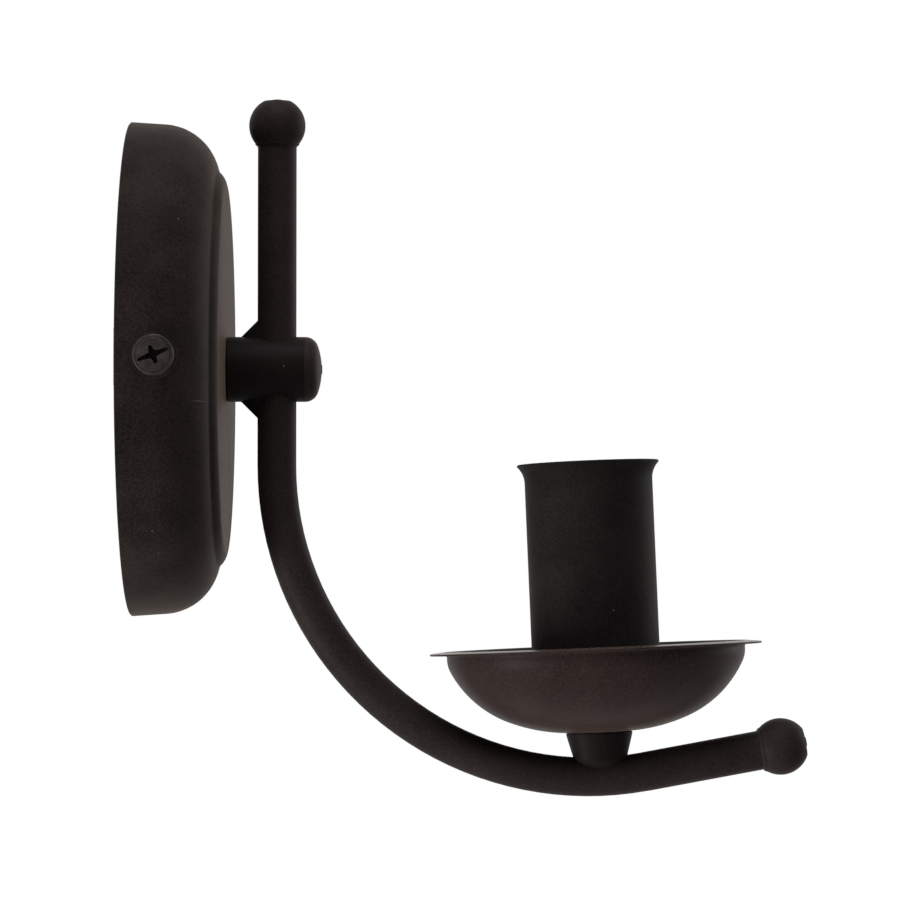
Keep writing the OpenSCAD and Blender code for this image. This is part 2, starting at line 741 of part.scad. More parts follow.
// Half of the leg's outline, seen along Y: foot, bend, upright, bend and tab
module leg_section() {
    outer = leg_bend_r + leg_t;
    half = leg_span / 2;
    top = holder_at - tiny;
    translate([-lap, leg_at + tiny]) square([half - outer + lap, leg_t]);
    bent_sheet([half - outer, leg_at + tiny + outer], outer, leg_t, -90, 0);
    translate([half - leg_t, leg_at + tiny + outer]) square([leg_t, top - leg_at - tiny - 2 * outer]);
    bent_sheet([half - outer, top - outer], outer, leg_t, 0, 90);
    translate([half - outer - leg_tab, top - leg_t]) square([leg_tab, leg_t]);
}

// the leg's fixing screws stand in the middle of its tabs
leg_screw_x = leg_span / 2 - leg_bend_r - leg_t - leg_tab / 2;

module holder_leg() {
    color(zinc) on_cup() difference() {
        union() {
            rotate([90, 0, 0]) linear_extrude(leg_w, center = true)
                for (side = [0, 1]) mirror([side, 0, 0]) leg_section();
            translate([0, 0, leg_at + tiny]) cylinder(d = leg_foot_d, h = leg_t);
        }
        translate([0, 0, leg_at - 1]) cylinder(d = nipple_d + 2 * fit, h = leg_t + 2);
        for (side = [-1, 1])
            translate([side * leg_screw_x, 0, holder_at - 2 * leg_t])
                cylinder(d = m3_d + slack, h = 3 * leg_t);
    }
}

module leg_screws() {
    under = holder_at - leg_t - 2 * tiny;
    color(zinc) on_cup() for (side = [-1, 1]) translate([side * leg_screw_x, 0, 0]) difference() {
        union() {
            translate([0, 0, under - m3_head_h]) cylinder(d = m3_head_d, h = m3_head_h);
            translate([0, 0, under - tiny]) cylinder(d = m3_d, h = leg_t + screw_bite);
        }
        translate([-m3_head_d, -small_slot / 2, under - m3_head_h - tiny])
            cube([2 * m3_head_d, small_slot, small_slot]);
    }
}

// Moulded body: a cup for the screw shell, with a narrower base and holes for screws and rivets
module socket_body() {
    base_d = holder_d - 2.4;
    base_h = 7;
    gap = 0.1;
    color(phenolic) on_cup() difference() {
        union() {
            translate([0, 0, holder_at]) cylinder(d = base_d, h = base_h);
            translate([0, 0, holder_at + base_h - 1]) cylinder(d1 = base_d - tiny, d2 = holder_d, h = 1.2);
            translate([0, 0, holder_at + base_h + 0.2]) cylinder(d = holder_d, h = holder_h - base_h - 1);
            translate([0, 0, holder_top - 0.8]) cylinder(d1 = holder_d, d2 = holder_d - 1.2, h = 0.8);
        }
        translate([0, 0, thread_at - gap]) cylinder(r = shell_r + gap, h = holder_h);
        translate([0, 0, shell_at - gap]) cylinder(r = shell_low_r + gap, h = holder_h);
        for (side = [-1, 1]) {
            translate([side * leg_screw_x, 0, holder_at - tiny])
                cylinder(d = m3_d + 2 * fit, h = screw_bite + 0.5);
            translate([0, side * terminal_y, holder_at - tiny])
                cylinder(d = terminal_d + 2 * fit, h = screw_bite + 0.5);
        }
        for (at = rivet_places) translate([at.x, at.y, holder_at - 1])
            cylinder(d = rivet_d + 2 * fit, h = holder_floor + 2);
    }
}

// Drawn shell: a threaded wall over a narrower pan with an open floor
module screw_shell() {
    t = shell_t;
    low = shell_low_r;
    wall_top = shell_len + shell_low_h;
    color("#c9b27a") on_cup(shell_at) difference() {
        rotate_extrude() {
            translate([shell_hole_r, 0]) square([low - shell_hole_r, t]);
            translate([low - t, 0]) square([t, shell_low_h]);
            translate([low - t, shell_low_h]) square([shell_r - low + t, t]);
            translate([shell_r - t, shell_low_h]) square([t, wall_top - shell_low_h]);
        }
        translate([rivet_places[1].x, rivet_places[1].y, -1]) cylinder(d = rivet_d + 2 * fit, h = 3);
    }
}

// places of the centre contact's rivet and the shell's rivet, about the cup's axis
rivet_places = [[tongue_root.x, 0], polar((shell_hole_r + shell_low_r - shell_t) / 2, shell_rivet_turn)];

// A rivet from under the strips to a height h over the body's floor
module rivet(at, h) {
    under = holder_at - strip_t - 2 * tiny;
    translate([at.x, at.y, under - rivet_head_h]) cylinder(d = rivet_head_d, h = rivet_head_h);
    translate([at.x, at.y, under - tiny]) cylinder(d = rivet_d, h = shell_at + h - under + 2 * tiny);
    translate([at.x, at.y, shell_at + h]) cylinder(d = rivet_top_d, h = rivet_head_h);
}

module contact_rivets() {
    color(brass) on_cup() {
        rivet(rivet_places[0], 2 * tiny);
        rivet(rivet_places[1], shell_t + 2 * tiny);
    }
}

// Springy brass tongue, rising from its root over the rivet to the lamp's centre contact
module contact_tongue() {
    color(brass) on_cup() translate(tongue_root) rotate([0, -tongue_slope, 0]) {
        translate([0, -tongue_w / 2, 0]) cube([tongue_len - tongue_w / 2, tongue_w, strip_t]);
        translate([tongue_len - tongue_w / 2, 0, 0]) cylinder(d = tongue_w, h = strip_t);
        rotate([90, 0, 0]) cylinder(d = 2 * strip_t, h = tongue_w, center = true);
    }
}

// A flat strip under the body from a rivet to a terminal, round at both ends
module strip(from, to) {
    w = rivet_head_d + 0.6;
    turn = atan2(to.y - from.y, to.x - from.x);
    length = norm([to.x - from.x, to.y - from.y]);
    color(brass) on_cup(holder_at - strip_t - tiny) difference() {
        translate([from.x, from.y, 0]) rotate(turn) linear_extrude(strip_t) {
            circle(d = w);
            translate([0, -w / 2]) square([length, w]);
            translate([length, 0]) circle(d = w);
        }
        translate([from.x, from.y, -1]) cylinder(d = rivet_d + 2 * fit, h = 3);
        translate([to.x, to.y, -1]) cylinder(d = terminal_d + 2 * fit, h = 3);
    }
}

module hot_strip() strip(rivet_places[0], [0, -terminal_y]);
module neutral_strip() strip(rivet_places[1], [0, terminal_y]);

// A terminal screw up into the body, with a slotted head under its strip
module terminal_screw(side, tint) {
    under = holder_at - strip_t - 2 * tiny;
    color(tint) on_cup() translate([0, side * terminal_y, 0]) difference() {
        union() {
            translate([0, 0, under - terminal_head_h]) cylinder(d = terminal_head_d, h = terminal_head_h);
            translate([0, 0, under - tiny]) cylinder(d = terminal_d, h = strip_t + screw_bite);
        }
        translate([-terminal_head_d, -small_slot / 2, under - terminal_head_h - tiny])
            cube([2 * terminal_head_d, small_slot, small_slot]);
    }
}

module hot_screw() terminal_screw(-1, brass);
module neutral_screw() terminal_screw(1, steel);

wall_strap();
ground_screw();
back_pan();
near_screw_washer();
near_side_screw();
far_screw_washer();
far_side_screw();
boss_barrel();
boss_cap();
boss_nipple();
boss_lock_washer();
boss_hex_nut();
nipple_bushing();
arm_tube();
top_ball();
end_ball();
cup_saddle();
cup_nipple();
dish();
cup_washer();
cup_nut();
holder_leg();
leg_screws();
socket_body();
screw_shell();
contact_rivets();
contact_tongue();
hot_strip();
neutral_strip();
hot_screw();
neutral_screw();
flared_sleeve();
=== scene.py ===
"""The looks of a one-light torch sconce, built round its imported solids.

The sconce is seen from its side: a stepped back pan on a wall strap, a barrel boss, a bent arm with ball
ends, and a cup of saddle, spun dish, flared sleeve and medium screw lampholder. Lengths in this file are
millimetres, and one scale turns them to metres where a mesh, a pattern, a lamp or the camera is made.
"""

import logging
import math
from collections.abc import Callable, Iterable, Sequence
from dataclasses import dataclass
from enum import Enum

import bpy
from mathutils import Matrix, Vector


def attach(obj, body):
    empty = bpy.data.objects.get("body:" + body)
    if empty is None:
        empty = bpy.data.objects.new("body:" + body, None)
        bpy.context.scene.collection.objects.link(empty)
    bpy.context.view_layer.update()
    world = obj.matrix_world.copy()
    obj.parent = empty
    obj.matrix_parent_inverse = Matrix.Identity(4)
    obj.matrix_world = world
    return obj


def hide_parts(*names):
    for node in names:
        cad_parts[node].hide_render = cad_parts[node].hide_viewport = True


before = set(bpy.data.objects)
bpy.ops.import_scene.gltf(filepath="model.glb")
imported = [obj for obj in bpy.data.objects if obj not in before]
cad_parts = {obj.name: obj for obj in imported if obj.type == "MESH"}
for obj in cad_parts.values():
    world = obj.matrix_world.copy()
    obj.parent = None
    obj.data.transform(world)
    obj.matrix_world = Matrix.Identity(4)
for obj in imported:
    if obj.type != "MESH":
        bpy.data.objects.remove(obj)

LOG = logging.getLogger("sconce")
MM = 0.001
INCH = 25.4

# edges that turn by more than this stay sharp, in degrees
CREASE = 35.0

Point = tuple[float, float]
Spot = tuple[float, float, float]
Colour = tuple[float, float, float, float]
Socket = int | str

# nearly all of a noise's values lie between these
NOISE_SPAN: Point = (0.3, 0.7)


# ---------- colours, nodes and meshes ----------


def linear(hex_colour: str) -> Colour:
    """Turns an sRGB colour to the linear one that shaders take.

    Args:
        hex_colour: six hex digits after a hash, such as "#352e2d".

    Returns:
        Linear red, green and blue, and an alpha of 1.
    """
    parts = [int(hex_colour[i:i + 2], 16) / 255 for i in (1, 3, 5)]
    # the sRGB curve: a straight foot, then a power
    rgb = [c / 12.92 if c <= 0.04045 else ((c + 0.055) / 1.055) ** 2.4 for c in parts]
    return (rgb[0], rgb[1], rgb[2], 1.0)


def add(tree: bpy.types.NodeTree, kind: str, links: dict[Socket, bpy.types.NodeSocket] | None = None,
        inputs: dict[Socket, object] | None = None, **settings: object) -> bpy.types.Node:
    """Adds a shader node with its settings, its sockets' values and its links.

    Args:
        tree: the node tree that takes the node.
        kind: the node's type name.
        links: input socket to the output socket that feeds it.
        inputs: input socket to its own value.
        settings: the node's properties.

    Returns:
        The new node.
    """
    node = tree.nodes.new(kind)
    for name, value in settings.items():
        setattr(node, name, value)
    for socket, value in (inputs or {}).items():
        node.inputs[socket].default_value = value
    for socket, source in (links or {}).items():
        tree.links.new(source, node.inputs[socket])
    return node


def arc(centre: Point, radius: float, start: float, end: float, step: float = 4.0) -> list[Point]:
    """Points along a round stretch of an outline.

    Args:
        centre: the arc's centre.
        radius: its radius.
        start: its first angle, in degrees.
        end: its last angle, in degrees.
        step: the largest turn between two points, in degrees.

    Returns:
        The points, both ends included.
    """
    count = max(1, math.ceil(abs(end - start) / step))
    angles = [math.radians(start + (end - start) * i / count) for i in range(count + 1)]
    return [(centre[0] + radius * math.cos(a), centre[1] + radius * math.sin(a)) for a in angles]


def mesh_object(name: str, points: Sequence[Sequence[float]], faces: Sequence[Sequence[int]], place: Matrix,
                crease: float = CREASE) -> bpy.types.Object:
    """Makes a smooth-shaded object of a mesh in millimetres.

    Args:
        name: the piece's name.
        points: corners in the piece's own frame.
        faces: corner numbers of each face.
        place: the piece's frame in the row's frame, in millimetres.
        crease: edges that turn by more than this stay sharp, in degrees.

    Returns:
        The object, linked to the scene.
    """
    mesh = bpy.data.meshes.new(name)
    mesh.from_pydata([(place @ Vector(p)) * MM for p in points], [], [list(f) for f in faces])
    mesh.validate()
    mesh.shade_smooth()
    mesh.set_sharp_from_angle(angle=math.radians(crease))
    made = bpy.data.objects.new(name, mesh)
    bpy.context.scene.collection.objects.link(made)
    return made


def turned(name: str, outline: Sequence[Point], place: Matrix, sides: int) -> bpy.types.Object:
    """Turns a closed outline round its own Z axis, as spinning or a lathe does.

    Args:
        name: the piece's name.
        outline: radius and height of each corner, in order round the section.
        place: the piece's frame in the row's frame, in millimetres.
        sides: steps round the axis.

    Returns:
        The turned object.
    """
    return surface_of_turn(name, lambda turn: outline, place, sides)


def surface_of_turn(name: str, outline_at: Callable[[float], Sequence[Point]], place: Matrix, sides: int,
                    crease: float = CREASE) -> bpy.types.Object:
    """Sweeps a closed outline, which may change with the turn, round its own Z axis.

    Args:
        name: the piece's name.
        outline_at: gives the outline at a turn in radians, with as many corners at each.
        place: the piece's frame in the row's frame, in millimetres.
        sides: steps round the axis.
        crease: edges that turn by more than this stay sharp, in degrees.

    Returns:
        The swept object.
    """
    points = []
    for side in range(sides):
        turn = math.tau * side / sides
        points += [(r * math.cos(turn), r * math.sin(turn), z) for r, z in outline_at(turn)]
    count = len(points) // sides
    faces = []
    for side in range(sides):
        here = side * count
        after = (side + 1) % sides * count
        for i in range(count):
            j = (i + 1) % count
            faces.append((here + i, after + i, after + j, here + j))
    return mesh_object(name, points, faces, place, crease)


class ThreadForm(Enum):
    """Shapes of thread, seen along the wall of what carries it."""

    CUT = "straight-sided ridges over flat roots"
    ROLLED = "soft waves rolled into thin sheet"


@dataclass(frozen=True)
class Thread:
    """A right-hand screw thread between two heights on a turned piece.

    A cut thread reaches its full depth at 1/flank of a pitch from the crest. The run-out is the share of a
    pitch over which either end fades.
    """

    pitch: float
    depth: float
    start: float
    end: float
    form: ThreadForm
    run_out: float = 0.8
    flank: float = 2.56

    def drop(self, height: float, turn: float) -> float:
        """Tells how far the thread sinks into the wall.

        Args:
            height: height along the axis.
            turn: turn about the axis, in radians.

        Returns:
            The depth under the crest, in millimetres.
        """
        phase = (height / self.pitch - turn / math.tau) % 1.0
        if self.form is ThreadForm.ROLLED:
            share = 0.5 - 0.5 * math.cos(math.tau * phase)
        else:
            share = min(1.0, self.flank * (0.5 - abs(phase - 0.5)))
        fade = min(height - self.start, self.end - height) / (self.run_out * self.pitch)
        return self.depth * share * min(1.0, max(0.0, fade))


def steps(start: float, end: float, pitch: float, per_pitch: int = 8) -> list[float]:
    """Heights spaced evenly enough to carry a thread.

    Args:
        start: the first height.
        end: the last height.
        pitch: the thread's pitch.
        per_pitch: steps to each pitch.

    Returns:
        The heights, both ends included.
    """
    count = math.ceil((end - start) / pitch * per_pitch)
    return [start + (end - start) * i / count for i in range(count + 1)]


def cut_away(piece: bpy.types.Object, cutters: Sequence[bpy.types.Object], crease: float) -> None:
    """Cuts shapes out of a piece and deletes them.

    Args:
        piece: the piece that is cut.
        cutters: the shapes that are taken out, each a closed mesh.
        crease: edges that turn by more than this stay sharp, in degrees.
    """
    for cutter in cutters:
        tool = piece.modifiers.new(cutter.name, "BOOLEAN")
        tool.operation = "DIFFERENCE"
        tool.solver = "EXACT"
        tool.object = cutter
    bpy.context.view_layer.update()
    shaped = piece.evaluated_get(bpy.context.evaluated_depsgraph_get())
    mesh = bpy.data.meshes.new_from_object(shaped)
    piece.modifiers.clear()
    old = piece.data
    piece.data = mesh
    bpy.data.meshes.remove(old)
    mesh.name = piece.name
    mesh.shade_smooth()
    mesh.set_sharp_from_angle(angle=math.radians(crease))
    for cutter in cutters:
        data = cutter.data
        bpy.data.objects.remove(cutter)
        bpy.data.meshes.remove(data)


@dataclass(frozen=True)
class Gash:
    """One pair of arms of a driver's recess: widest in the middle, narrower at its ends and at its foot.

    The widths are those at the middle and at the ends, the foot is a share of them, and the block that cuts
    the arms stands proud of the crown.
    """

    length: float
    middle: float
    end: float
    depth: float
    turn: float = 0.0
    foot_share: float = 0.55
    proud: float = 0.3

    def cutter(self, name: str, place: Matrix, slant: float) -> bpy.types.Object:
        """Makes the closed block that cuts it.

        Args:
            name: the block's name.
            place: the frame of the crown's top, in millimetres.
            slant: the whole recess's turn about that frame's Z axis, in degrees.

        Returns:
            The block.
        """
        ring = [(-self.length, -self.end), (0.0, -self.middle), (self.length, -self.end),
                (self.length, self.end), (0.0, self.middle), (-self.length, self.end)]
        points = [(0.5 * self.foot_share * x, 0.5 * self.foot_share * y, -self.depth) for x, y in ring]
        points += [(0.5 * x, 0.5 * y, self.proud) for x, y in ring]
        count = len(ring)
        sides = [(i, (i + 1) % count, count + (i + 1) % count, count + i) for i in range(count)]
        faces = [tuple(reversed(range(count))), tuple(range(count, 2 * count))] + sides
        aim = Matrix.Rotation(math.radians(slant + self.turn), 4, "Z")
        return mesh_object(name, points, faces, place @ aim)


# ---------- finishes ----------


def blank(name: str) -> tuple[bpy.types.Material, bpy.types.NodeTree, bpy.types.NodeSocket]:
    """Starts a finish's material.

    Args:
        name: the material's name.

    Returns:
        The material, its node tree, and the place on the piece in metres.
    """
    material = bpy.data.materials.new(name)
    material.use_nodes = True
    tree = material.node_tree
    return material, tree, add(tree, "ShaderNodeTexCoord").outputs["Object"]


def skin(tree: bpy.types.NodeTree, colour: bpy.types.NodeSocket, roughness: bpy.types.Node,
         relief: bpy.types.Node, constants: dict[str, float | Colour]) -> None:
    """Joins a finish's patterns to its shader.

    Args:
        tree: the material's node tree.
        colour: the socket that gives the colour.
        roughness: the node that gives the roughness.
        relief: the node that gives the bumps.
        constants: the shader's sockets that hold one value all over.
    """
    shader = tree.nodes["Principled BSDF"]
    tree.links.new(colour, shader.inputs["Base Color"])
    tree.links.new(roughness.outputs[0], shader.inputs["Roughness"])
    tree.links.new(relief.outputs[0], shader.inputs["Normal"])
    for socket, value in constants.items():
        shader.inputs[socket].default_value = value


class Grit(Enum):
    """How coarse the sand in a powder coat stands, as the size of its grains in millimetres.

    Both are drawn about twice as coarse as such sand is, because it would be too fine to show.
    """

    FINE = 0.3
    COARSE = 0.36


@dataclass(frozen=True)
class PowderCoat:
    """Polyester powder coat with a fine sand texture, sprayed on spun or welded steel and baked.

    The eye gets a brown-black that drinks light face on and turns brown-grey at grazing angles, broken by
    grains of a third of a millimetre, by slow clouds where the spray lay thicker, and by a few pale specks of
    dust. The gloss is far under a real coat's, because all that it mirrors here is white.
    """

    name: str
    colour: str
    mottle: str
    roughness: float = 0.5
    roughness_swing: float = 0.07
    ior: float = 1.5
    grit: Grit = Grit.FINE
    grit_height: float = 0.02
    grit_span: Point = (0.32, 0.7)
    gloss: float = 0.03
    bloom: float = 0.06
    bloom_roughness: float = 0.35
    bloom_colour: str = "#d9b9a6"
    cloud_size: float = 14.0
    cloud_share: float = 0.25
    cloud_span: Point = (0.36, 0.66)
    speck: str = "#776d67"
    speck_spacing: float = 7.0
    speck_width: float = 0.3
    scratch: "Scratch | None" = None

    def build(self) -> bpy.types.Material:
        """Makes the material; its scales are worked out from the sizes of grain, cloud and speck.

        Returns:
            The material.
        """
        material, tree, where = blank(self.name)
        # one cell of the noise holds a raised grain and the hollow beside it, so a cell is two grains wide
        grain = add(tree, "ShaderNodeTexNoise", {"Vector": where},
                    {"Scale": 0.5 / (self.grit.value * MM), "Detail": 4.0, "Roughness": 0.7})
        cloud = add(tree, "ShaderNodeTexNoise", {"Vector": where},
                    {"Scale": 1 / (self.cloud_size * MM), "Detail": 3.0, "Roughness": 0.55})
        fine = add(tree, "ShaderNodeMapRange", {"Value": grain.outputs[0]},
                   {"From Min": self.grit_span[0], "From Max": self.grit_span[1],
                    "To Max": 1 - self.cloud_share})
        slow = add(tree, "ShaderNodeMapRange", {"Value": cloud.outputs[0]},
                   {"From Min": self.cloud_span[0], "From Max": self.cloud_span[1],
                    "To Max": self.cloud_share})
        share = add(tree, "ShaderNodeMath", {0: fine.outputs[0], 1: slow.outputs[0]}, operation="ADD")
        body = add(tree, "ShaderNodeMix", {"Factor": share.outputs[0]},
                   {6: linear(self.colour), 7: linear(self.mottle)}, data_type="RGBA")
        dust = add(tree, "ShaderNodeTexVoronoi", {"Vector": where}, {"Scale": 1 / (self.speck_spacing * MM)})
        near = add(tree, "ShaderNodeMath", {0: dust.outputs["Distance"]},
                   {1: 0.5 * self.speck_width / self.speck_spacing}, operation="LESS_THAN")
        dusted = add(tree, "ShaderNodeMix", {"Factor": near.outputs[0], 6: body.outputs[2]},
                     {7: linear(self.speck)}, data_type="RGBA")
        colour = dusted.outputs[2]
        if self.scratch:
            colour = self.scratch.over(tree, where, colour)
        rough = add(tree, "ShaderNodeMapRange", {"Value": grain.outputs[0]},
                    {"From Min": NOISE_SPAN[0], "From Max": NOISE_SPAN[1],
                     "To Min": self.roughness - self.roughness_swing,
                     "To Max": self.roughness + self.roughness_swing})
        sand = add(tree, "ShaderNodeBump", {"Height": grain.outputs[0]},
                   {"Strength": 1.0, "Distance": self.grit_height * MM})
        skin(tree, colour, rough, sand, {
            "IOR": self.ior, "Specular IOR Level": self.gloss, "Sheen Weight": self.bloom,
            "Sheen Roughness": self.bloom_roughness, "Sheen Tint": linear(self.bloom_colour)})
        return material


@dataclass(frozen=True)
class Scratch:
    """A fine pale rub mark in a coat: a straight line whose ends fade.

    It is a long ellipsoid of the given half sizes, full inside the core and gone at its skin.
    """

    middle: Spot
    half: Spot
    colour: str
    core: float = 0.3
    strength: float = 0.8

    def over(self, tree: bpy.types.NodeTree, where: bpy.types.NodeSocket,
             under: bpy.types.NodeSocket) -> bpy.types.NodeSocket:
        """Draws the mark over a colour.

        Args:
            tree: the material's node tree.
            where: the place on the object.
            under: the colour under the mark.

        Returns:
            The colour with the mark in it.
        """
        scale = tuple(1 / (h * MM) for h in self.half)
        shift = tuple(-m * MM * k for m, k in zip(self.middle, scale))
        local = add(tree, "ShaderNodeMapping", {"Vector": where}, {"Location": shift, "Scale": scale})
        reach = add(tree, "ShaderNodeVectorMath", {0: local.outputs[0]}, operation="LENGTH")
        share = add(tree, "ShaderNodeMapRange", {"Value": reach.outputs["Value"]},
                    {"From Min": 1.0, "From Max": self.core, "To Max": self.strength})
        mark = add(tree, "ShaderNodeMix", {"Factor": share.outputs[0], 6: under}, {7: linear(self.colour)},
                   data_type="RGBA")
        return mark.outputs[2]


@dataclass(frozen=True)
class PlatedMetal:
    """Bare or plated metal, rolled, drawn or turned: a bright metal broken by fine grain lines and blooms.

    The lines are drawn a few times coarser than real rolling lines, which would be too fine to show.
    """

    name: str
    colour: str
    shade: str
    roughness: float = 0.28
    roughness_swing: Point = (-0.06, 0.1)
    grain: float = 0.35
    stretch: float = 8.0
    height: float = 0.006
    bloom_size: float = 6.0
    tint_span: Point = (0.12, 0.42)

    def build(self) -> bpy.types.Material:
        """Makes the material; the grain's size is the spacing of the rolling lines in millimetres.

        Returns:
            The material.
        """
        material, tree, where = blank(self.name)
        drawn = add(tree, "ShaderNodeMapping", {"Vector": where}, {"Scale": (1.0, 1 / self.stretch, 1.0)})
        lines = add(tree, "ShaderNodeTexNoise", {"Vector": drawn.outputs[0]},
                    {"Scale": 1 / (self.grain * MM), "Detail": 2.0})
        bloom = add(tree, "ShaderNodeTexNoise", {"Vector": where},
                    {"Scale": 1 / (self.bloom_size * MM), "Detail": 3.0})
        mixed = add(tree, "ShaderNodeMath", {0: lines.outputs[0], 1: bloom.outputs[0]}, operation="MULTIPLY")
        share = add(tree, "ShaderNodeMapRange", {"Value": mixed.outputs[0]},
                    {"From Min": self.tint_span[0], "From Max": self.tint_span[1]})
        tint = add(tree, "ShaderNodeMix", {"Factor": share.outputs[0]},
                   {6: linear(self.shade), 7: linear(self.colour)}, data_type="RGBA")
        rough = add(tree, "ShaderNodeMapRange", {"Value": bloom.outputs[0]},
                    {"From Min": NOISE_SPAN[0], "From Max": NOISE_SPAN[1],
                     "To Min": self.roughness + self.roughness_swing[0],
                     "To Max": self.roughness + self.roughness_swing[1]})
        bump = add(tree, "ShaderNodeBump", {"Height": lines.outputs[0]}, {"Distance": self.height * MM})
        skin(tree, tint.outputs[2], rough, bump, {"Metallic": 1.0})
        return material


@dataclass(frozen=True)
class MouldedPlastic:
    """Pressed or injection moulded plastic: one colour, a soft gloss and the mould's faint orange peel."""

    name: str
    colour: str
    fleck: str
    roughness: float
    ior: float
    roughness_swing: Point = (-0.05, 0.08)
    peel: float = 0.8
    height: float = 0.01
    fleck_span: Point = (0.35, 0.75)

    def build(self) -> bpy.types.Material:
        """Makes the material; the peel is the mould skin's own spacing in millimetres.

        Returns:
            The material.
        """
        material, tree, where = blank(self.name)
        wave = add(tree, "ShaderNodeTexNoise", {"Vector": where},
                   {"Scale": 1 / (self.peel * MM), "Detail": 3.0})
        share = add(tree, "ShaderNodeMapRange", {"Value": wave.outputs[0]},
                    {"From Min": self.fleck_span[0], "From Max": self.fleck_span[1]})
        tint = add(tree, "ShaderNodeMix", {"Factor": share.outputs[0]},
                   {6: linear(self.colour), 7: linear(self.fleck)}, data_type="RGBA")
        rough = add(tree, "ShaderNodeMapRange", {"Value": wave.outputs[0]},
                    {"To Min": self.roughness + self.roughness_swing[0],
                     "To Max": self.roughness + self.roughness_swing[1]})
        bump = add(tree, "ShaderNodeBump", {"Height": wave.outputs[0]}, {"Distance": self.height * MM})
        skin(tree, tint.outputs[2], rough, bump, {"IOR": self.ior})
        return material


class Finishes:
    """The sconce's finishes, each built once."""

    def __init__(self) -> None:
        """Builds every material that the pieces wear."""
        # a thin coat on the tube, its ends, the cap and the washers: a brown that is nearly black
        self.coat = PowderCoat("brown_black_powder_coat", "#191514", "#302927").build()
        # the sleeve's coat has lost its warmth, and looks a neutral black
        self.sleeve_coat = PowderCoat("black_powder_coat_on_the_sleeve", "#0f0d0d", "#272423",
                                      roughness=0.55, gloss=0.02).build()
        # the casting takes less of the sand and looks the blackest
        self.boss_coat = PowderCoat("brown_black_powder_coat_on_the_boss", "#0b0909", "#1d1918",
                                    grit_height=0.01).build()
        # thicker, sandier coat on the two large spun shells, which look browner and dustier
        rub_mark = Scratch((21.0, -55.5, -10.8), (2.3, 30.0, 0.2), "#544a45")
        self.pan_coat = PowderCoat("brown_black_powder_coat_on_the_pan", "#120f0e", "#332c2a",
                                   grit_height=0.03, gloss=0.012, bloom=0.1, cloud_share=0.3,
                                   scratch=rub_mark).build()
        self.dish_coat = PowderCoat("brown_black_powder_coat_on_the_dish", "#1c1514", "#382d2a",
                                    roughness=0.45, gloss=0.04, grit=Grit.COARSE, grit_height=0.03).build()
        # a smoother coat on the flange's upward faces, which edge on mirrors the surround; its lighter colour
        # is a painted highlight
        self.flange_smooth_highlight_coat = PowderCoat("brown_black_powder_coat_rubbed_smooth_on_the_flange", "#2a211f",
                                   "#40352f", roughness=0.26, gloss=0.08, grit_height=0.004).build()
        # rubbed a little brighter and patchy where a driver and fingers have touched it
        self.screw_coat = PowderCoat("worn_brown_black_coat_on_the_screws", "#161312", "#3b322f",
                                     roughness=0.38, grit_height=0.03, gloss=0.12, cloud_size=2.5,
                                     cloud_share=0.6).build()
        # painted shade in the screws' recesses: a near-black on the faces deep in the recess, standing in for
        # the shade that falls there
        self.recess_painted_shade = PowderCoat("painted_shade_in_the_recess", "#050404", "#0c0a0a",
                                       grit_height=0.005, gloss=0.05, bloom=0.0).build()
        # bright zinc over rolled steel: a cool grey metal, dulled by its lines
        self.zinc = PlatedMetal("bright_zinc_on_pressed_steel", "#b4b8bd", "#9da1a7").build()
        # the dye of a ground screw over zinc: a leaf green with the metal's shine
        self.green = PlatedMetal("green_dyed_zinc_on_steel", "#3f9a55", "#256b38", roughness=0.35).build()
        # thin brass plate on drawn steel: a pale, bright yellow
        self.shell = PlatedMetal("brass_plated_rolled_shell", "#d8c184", "#b89c5c", roughness=0.22).build()
        # stamped brass left bare: a deeper yellow that has gone a little brown
        self.brass = PlatedMetal("bare_stamped_brass", "#cfa75a", "#a47f3c", roughness=0.3).build()
        # phenolic pressed in a hot mould: a black with a soft gloss and brown flecks
        self.phenolic = MouldedPlastic("moulded_phenolic", "#161413", "#2a2522", roughness=0.3,
                                       ior=1.6).build()
        # nylon moulded thin: a warm white with a duller gloss
        self.nylon = MouldedPlastic("moulded_nylon", "#e4e0d4", "#f1efe8", roughness=0.42,
                                    ior=1.53).build()


# ---------- places ----------


@dataclass(frozen=True)
class CupAxis:
    """The cup's own frame, as the solids have it: its foot on the arm's axis, and its lean in degrees."""

    foot: Spot = (121.250, 0.0, -104.630)
    lean: float = 2.4

    def at(self, height: float = 0.0) -> Matrix:
        """Gives the frame at a height over the arm's axis, in millimetres."""
        turn = Matrix.Rotation(math.radians(-self.lean), 4, "Y")
        return Matrix.Translation(self.foot) @ turn @ Matrix.Translation((0.0, 0.0, height))


def out_of_wall(x: float) -> Matrix:
    """Gives the frame whose Z axis is the pan's axis, x millimetres out of the wall."""
    return Matrix.Translation((x, 0.0, 0.0)) @ Matrix.Rotation(math.radians(90), 4, "Y")


def dress(names: Iterable[str], material: bpy.types.Material) -> None:
    """Gives carried-over solids their material, on the objects and not on their meshes.

    Args:
        names: the solids' node names.
        material: what they wear.
    """
    for name in names:
        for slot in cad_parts[name].material_slots:
            slot.link = "OBJECT"
            slot.material = material
    LOG.info("dressed %s in %s", ", ".join(names), material.name)


def seat(piece: bpy.types.Object, body: str, node: str, material: bpy.types.Material) -> None:
    """Puts a modelled piece in a solid's stead.

    Args:
        piece: the new piece, already in place.
        body: the body that carries it.
        node: the solid that it stands for.
        material: what it wears.
    """
    piece.data.materials.append(material)
    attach(piece, body)
    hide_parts(node)
    LOG.info("made %s for %s", piece.name, node)


# ---------- sub-assemblies ----------


class Side(Enum):
    """The two sides of the pan that carry a screw, as turns of its outward axis about X in degrees."""

    NEAR = 90.0
    FAR = -90.0


